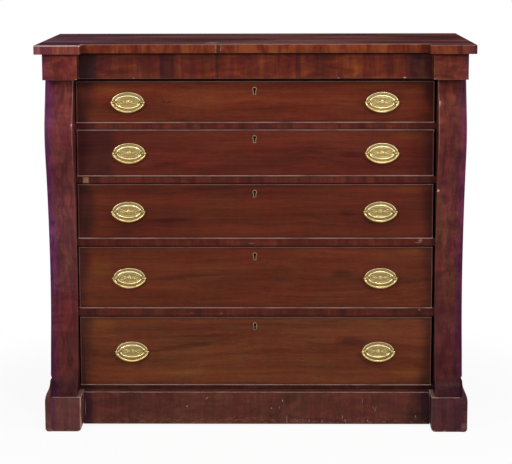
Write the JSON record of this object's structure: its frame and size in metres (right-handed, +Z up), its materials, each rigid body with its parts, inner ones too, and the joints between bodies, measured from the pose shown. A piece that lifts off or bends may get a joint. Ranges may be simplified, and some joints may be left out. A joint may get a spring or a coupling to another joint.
{
  "type": "chest of drawers",
  "caption": "Block front chest with graduated cockbeaded drawers, oval brass bail pulls, curved pilasters and block feet.",
  "frame": {"origin": "on the floor, under the centre of the top board's outline", "axes": "+X to the right of a person facing the drawers, +Y to the back, +Z up"},
  "size_m": [1.2, 0.56, 1.083],
  "materials": {
    "top_mahogany": "aged polished mahogany, dark purple-brown with pale streaks",
    "crossband_veneer": "polished mahogany veneer with its grain upright",
    "figured_veneer": "polished crotch mahogany veneer",
    "base_mahogany": "worn polished mahogany",
    "case_mahogany": "polished mahogany",
    "rail_veneer": "polished mahogany veneer",
    "drawer_mahogany": "polished mahogany with level grain",
    "bead_mahogany": "polished mahogany bead, paler on its nose",
    "secondary_wood": "oxidised pine",
    "drawer_secondary": "oxidised poplar",
    "pull_brass": "polished stamped brass",
    "lock_brass": "dull brass"
  },
  "bodies": {
    "carcase": {"back_boards": "secondary_wood", "base_skirt": "crossband_veneer", "corner_posts": "case_mahogany", "divider_rails": "rail_veneer", "drawer_runners": "secondary_wood", "drawer_stops": "secondary_wood", "end_panel_left": "case_mahogany", "end_panel_right": "case_mahogany", "foot_block_left": "base_mahogany", "foot_block_right": "base_mahogany", "frame_rails": "case_mahogany", "frieze_block_left": "crossband_veneer", "frieze_block_right": "crossband_veneer", "frieze_center": "crossband_veneer", "glue_blocks": "secondary_wood", "pilaster_left": "figured_veneer", "pilaster_right": "figured_veneer", "side_plinth_left": "base_mahogany", "side_plinth_right": "base_mahogany", "top_board": "top_mahogany"},
    "drawer_1": {"drawer_1_front": "drawer_mahogany", "drawer_1_box": "drawer_secondary", "drawer_1_cockbead": "bead_mahogany", "drawer_1_pull_plates": "pull_brass", "drawer_1_lock": "lock_brass"},
    "drawer_1_bail_left": {"drawer_1_bail_left": "pull_brass"},
    "drawer_1_bail_right": {"drawer_1_bail_right": "pull_brass"},
    "drawer_1_lock_bolt": {"drawer_1_lock_bolt": "lock_brass"},
    "drawer_2": {"drawer_2_front": "drawer_mahogany", "drawer_2_box": "drawer_secondary", "drawer_2_cockbead": "bead_mahogany", "drawer_2_pull_plates": "pull_brass", "drawer_2_lock": "lock_brass"},
    "drawer_2_bail_left": {"drawer_2_bail_left": "pull_brass"},
    "drawer_2_bail_right": {"drawer_2_bail_right": "pull_brass"},
    "drawer_2_lock_bolt": {"drawer_2_lock_bolt": "lock_brass"},
    "drawer_3": {"drawer_3_front": "drawer_mahogany", "drawer_3_box": "drawer_secondary", "drawer_3_cockbead": "bead_mahogany", "drawer_3_pull_plates": "pull_brass", "drawer_3_lock": "lock_brass"},
    "drawer_3_bail_left": {"drawer_3_bail_left": "pull_brass"},
    "drawer_3_bail_right": {"drawer_3_bail_right": "pull_brass"},
    "drawer_3_lock_bolt": {"drawer_3_lock_bolt": "lock_brass"},
    "drawer_4": {"drawer_4_front": "drawer_mahogany", "drawer_4_box": "drawer_secondary", "drawer_4_cockbead": "bead_mahogany", "drawer_4_pull_plates": "pull_brass", "drawer_4_lock": "lock_brass"},
    "drawer_4_bail_left": {"drawer_4_bail_left": "pull_brass"},
    "drawer_4_bail_right": {"drawer_4_bail_right": "pull_brass"},
    "drawer_4_lock_bolt": {"drawer_4_lock_bolt": "lock_brass"},
    "drawer_5": {"drawer_5_front": "drawer_mahogany", "drawer_5_box": "drawer_secondary", "drawer_5_cockbead": "bead_mahogany", "drawer_5_pull_plates": "pull_brass", "drawer_5_lock": "lock_brass"},
    "drawer_5_bail_left": {"drawer_5_bail_left": "pull_brass"},
    "drawer_5_bail_right": {"drawer_5_bail_right": "pull_brass"},
    "drawer_5_lock_bolt": {"drawer_5_lock_bolt": "lock_brass"}
  },
  "joints": [
    {"name": "drawer_1_slide", "type": "slide", "parent": "carcase", "child": "drawer_1", "axis": [0, -1, 0], "range_m": [0, 0.32]},
    {"name": "drawer_1_bail_left_hinge", "type": "hinge", "parent": "drawer_1", "child": "drawer_1_bail_left", "pos_m": [-0.3545, -0.19, 0.9195], "axis": [-1, 0, 0], "range_deg": [-5, 105]},
    {"name": "drawer_1_bail_right_hinge", "type": "hinge", "parent": "drawer_1", "child": "drawer_1_bail_right", "pos_m": [0.3505, -0.19, 0.9195], "axis": [-1, 0, 0], "range_deg": [-5, 105]},
    {"name": "drawer_1_lock_bolt_slide", "type": "slide", "parent": "drawer_1", "child": "drawer_1_lock_bolt", "axis": [0, 0, 1], "range_m": [0, 0.008]},
    {"name": "drawer_2_slide", "type": "slide", "parent": "carcase", "child": "drawer_2", "axis": [0, -1, 0], "range_m": [0, 0.32]},
    {"name": "drawer_2_bail_left_hinge", "type": "hinge", "parent": "drawer_2", "child": "drawer_2_bail_left", "pos_m": [-0.3525, -0.19, 0.77725], "axis": [-1, 0, 0], "range_deg": [-5, 105]},
    {"name": "drawer_2_bail_right_hinge", "type": "hinge", "parent": "drawer_2", "child": "drawer_2_bail_right", "pos_m": [0.3515, -0.19, 0.77725], "axis": [-1, 0, 0], "range_deg": [-5, 105]},
    {"name": "drawer_2_lock_bolt_slide", "type": "slide", "parent": "drawer_2", "child": "drawer_2_lock_bolt", "axis": [0, 0, 1], "range_m": [0, 0.008]},
    {"name": "drawer_3_slide", "type": "slide", "parent": "carcase", "child": "drawer_3", "axis": [0, -1, 0], "range_m": [0, 0.32]},
    {"name": "drawer_3_bail_left_hinge", "type": "hinge", "parent": "drawer_3", "child": "drawer_3_bail_left", "pos_m": [-0.357, -0.19, 0.612], "axis": [-1, 0, 0], "range_deg": [-5, 105]},
    {"name": "drawer_3_bail_right_hinge", "type": "hinge", "parent": "drawer_3", "child": "drawer_3_bail_right", "pos_m": [0.348, -0.19, 0.612], "axis": [-1, 0, 0], "range_deg": [-5, 105]},
    {"name": "drawer_3_lock_bolt_slide", "type": "slide", "parent": "drawer_3", "child": "drawer_3_lock_bolt", "axis": [0, 0, 1], "range_m": [0, 0.008]},
    {"name": "drawer_4_slide", "type": "slide", "parent": "carcase", "child": "drawer_4", "axis": [0, -1, 0], "range_m": [0, 0.32]},
    {"name": "drawer_4_bail_left_hinge", "type": "hinge", "parent": "drawer_4", "child": "drawer_4_bail_left", "pos_m": [-0.3565, -0.19, 0.42325], "axis": [-1, 0, 0], "range_deg": [-5, 105]},
    {"name": "drawer_4_bail_right_hinge", "type": "hinge", "parent": "drawer_4", "child": "drawer_4_bail_right", "pos_m": [0.35, -0.19, 0.42325], "axis": [-1, 0, 0], "range_deg": [-5, 105]},
    {"name": "drawer_4_lock_bolt_slide", "type": "slide", "parent": "drawer_4", "child": "drawer_4_lock_bolt", "axis": [0, 0, 1], "range_m": [0, 0.008]},
    {"name": "drawer_5_slide", "type": "slide", "parent": "carcase", "child": "drawer_5", "axis": [0, -1, 0], "range_m": [0, 0.32]},
    {"name": "drawer_5_bail_left_hinge", "type": "hinge", "parent": "drawer_5", "child": "drawer_5_bail_left", "pos_m": [-0.352, -0.19, 0.211], "axis": [-1, 0, 0], "range_deg": [-5, 105]},
    {"name": "drawer_5_bail_right_hinge", "type": "hinge", "parent": "drawer_5", "child": "drawer_5_bail_right", "pos_m": [0.3455, -0.19, 0.211], "axis": [-1, 0, 0], "range_deg": [-5, 105]},
    {"name": "drawer_5_lock_bolt_slide", "type": "slide", "parent": "drawer_5", "child": "drawer_5_lock_bolt", "axis": [0, 0, 1], "range_m": [0, 0.008]}
  ]
}
